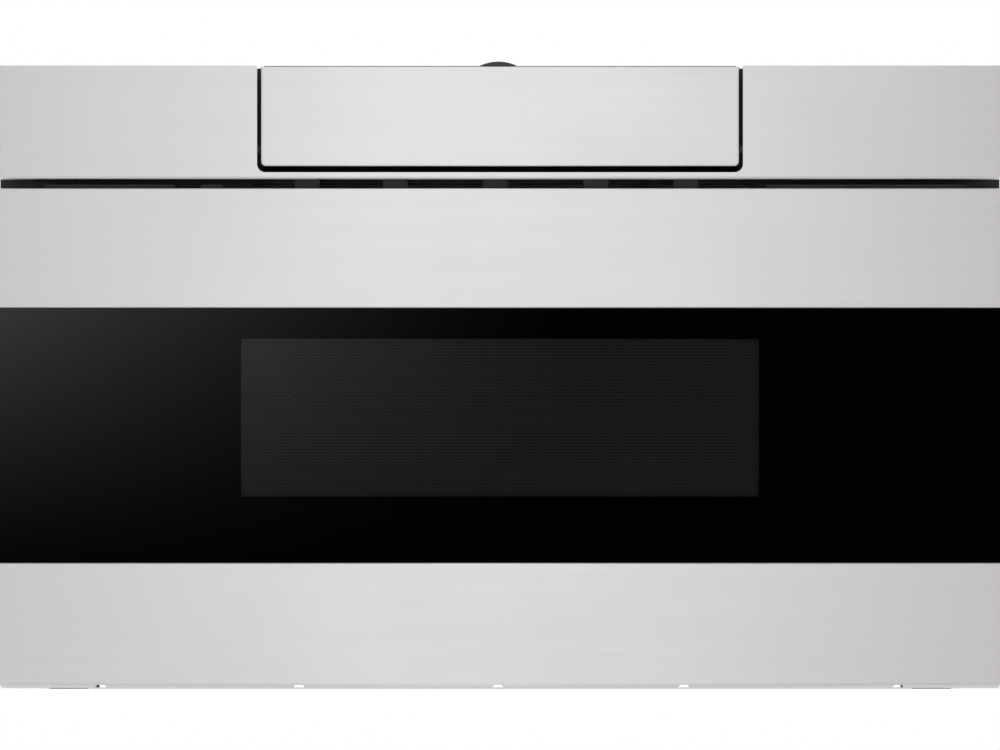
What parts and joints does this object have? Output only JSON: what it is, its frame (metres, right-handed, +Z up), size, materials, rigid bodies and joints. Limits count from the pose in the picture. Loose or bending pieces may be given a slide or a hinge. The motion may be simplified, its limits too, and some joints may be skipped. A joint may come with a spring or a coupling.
{
  "type": "microwave drawer",
  "caption": "Built-in microwave drawer: steel and black glass front, pull-out tub on telescopic rails, tilting control flap and boxed chassis with a mounting flange.",
  "frame": {"origin": "centre of the footprint on the surface that the feet stand on", "axes": "+X right seen from the front, +Y to the back, +Z up"},
  "size_m": [0.6064, 0.621, 0.3796],
  "materials": {
    "brushed_steel": "brushed along the width",
    "black_glass": "black backed glass",
    "clear_glass": "clear",
    "dark_screen": "black perforated sheet",
    "black_paint": "satin charcoal",
    "black_plastic": "matte black",
    "grey_plastic": "matte grey",
    "white_plastic": "natural nylon",
    "galvanised_steel": "galvanised sheet",
    "zinc_steel": "zinc plated",
    "core_steel": "varnished laminations",
    "grey_paint": "baked grey enamel",
    "ceramic_tray": "glazed",
    "rubber_feet": "black",
    "circuit_board": "board with components"
  },
  "bodies": {
    "chassis": {"air_louvre": "black_plastic", "back_panel": "galvanised_steel", "base_feet": "rubber_feet", "base_pan": "galvanised_steel", "capacitor_clamp": "zinc_steel", "cavity_box": "grey_paint", "control_bay": "black_plastic", "cord_bushing": "rubber_feet", "cover_screws": "zinc_steel", "drive_motor": "zinc_steel", "fan_motor": "core_steel", "fan_shroud": "grey_plastic", "fascia_skin": "brushed_steel", "flap_pins": "black_plastic", "front_frame": "black_paint", "hv_capacitor": "zinc_steel", "hv_transformer": "core_steel", "interlock_switches": "white_plastic", "left_fixed_rail": "zinc_steel", "left_side_panel": "galvanised_steel", "magnetron": "zinc_steel", "noise_filter": "circuit_board", "oven_lamp": "white_plastic", "power_board": "circuit_board", "rack_guide": "white_plastic", "rail_brackets": "zinc_steel", "right_fixed_rail": "zinc_steel", "right_side_panel": "galvanised_steel", "stirrer_cover": "white_plastic", "stirrer_motor": "zinc_steel", "thermal_cutouts": "black_plastic", "top_cover": "galvanised_steel", "waveguide": "galvanised_steel"},
    "drawer": {"drawer_upper_trim": "brushed_steel", "drawer_lower_trim": "brushed_steel", "front_glass": "black_glass", "door_frame": "black_paint", "window_screen": "dark_screen", "inner_window": "clear_glass", "choke_ring": "black_plastic", "drawer_tub": "grey_paint", "ceramic_tray": "ceramic_tray", "left_drawer_rail": "zinc_steel", "right_drawer_rail": "zinc_steel", "drive_rack": "white_plastic", "interlock_hooks": "white_plastic"},
    "left_mid_rail": {"left_middle_rail": "zinc_steel"},
    "right_mid_rail": {"right_middle_rail": "zinc_steel"},
    "pinion": {"drive_pinion": "white_plastic"},
    "flap": {"flap_skin": "brushed_steel", "control_housing": "black_plastic", "touch_panel": "black_glass", "control_board": "circuit_board"},
    "fan": {"fan_blade": "grey_plastic"},
    "stirrer_rotor": {"stirrer": "zinc_steel"}
  },
  "joints": [
    {"name": "drawer_slide", "type": "slide", "parent": "chassis", "child": "drawer", "axis": [0, -1, 0], "range_m": [0, 0.375]},
    {"name": "left_rail_slide", "type": "slide", "parent": "chassis", "child": "left_mid_rail", "axis": [0, -1, 0], "range_m": [0, 0.1875]},
    {"name": "right_rail_slide", "type": "slide", "parent": "chassis", "child": "right_mid_rail", "axis": [0, -1, 0], "range_m": [0, 0.1875]},
    {"name": "pinion_spin", "type": "hinge", "parent": "chassis", "child": "pinion", "pos_m": [-0.0161, -0.242, 0.045], "axis": [0, 0, 1], "continuous": true},
    {"name": "flap_tilt", "type": "hinge", "parent": "chassis", "child": "flap", "pos_m": [0, -0.3025, 0.3263], "axis": [1, 0, 0], "range_deg": [0, 45]},
    {"name": "fan_spin", "type": "hinge", "parent": "chassis", "child": "fan", "pos_m": [0.165, 0.212, 0.096], "axis": [0, 1, 0], "continuous": true},
    {"name": "stirrer_spin", "type": "hinge", "parent": "chassis", "child": "stirrer_rotor", "pos_m": [0, -0.048, 0.25], "axis": [0, 0, 1], "continuous": true}
  ],
  "couplings": [
    {"joint": "left_rail_slide", "follows": "drawer_slide", "ratio": 0.5},
    {"joint": "right_rail_slide", "follows": "drawer_slide", "ratio": 0.5},
    {"joint": "pinion_spin", "follows": "drawer_slide", "rad_per_m": -62.5}
  ]
}
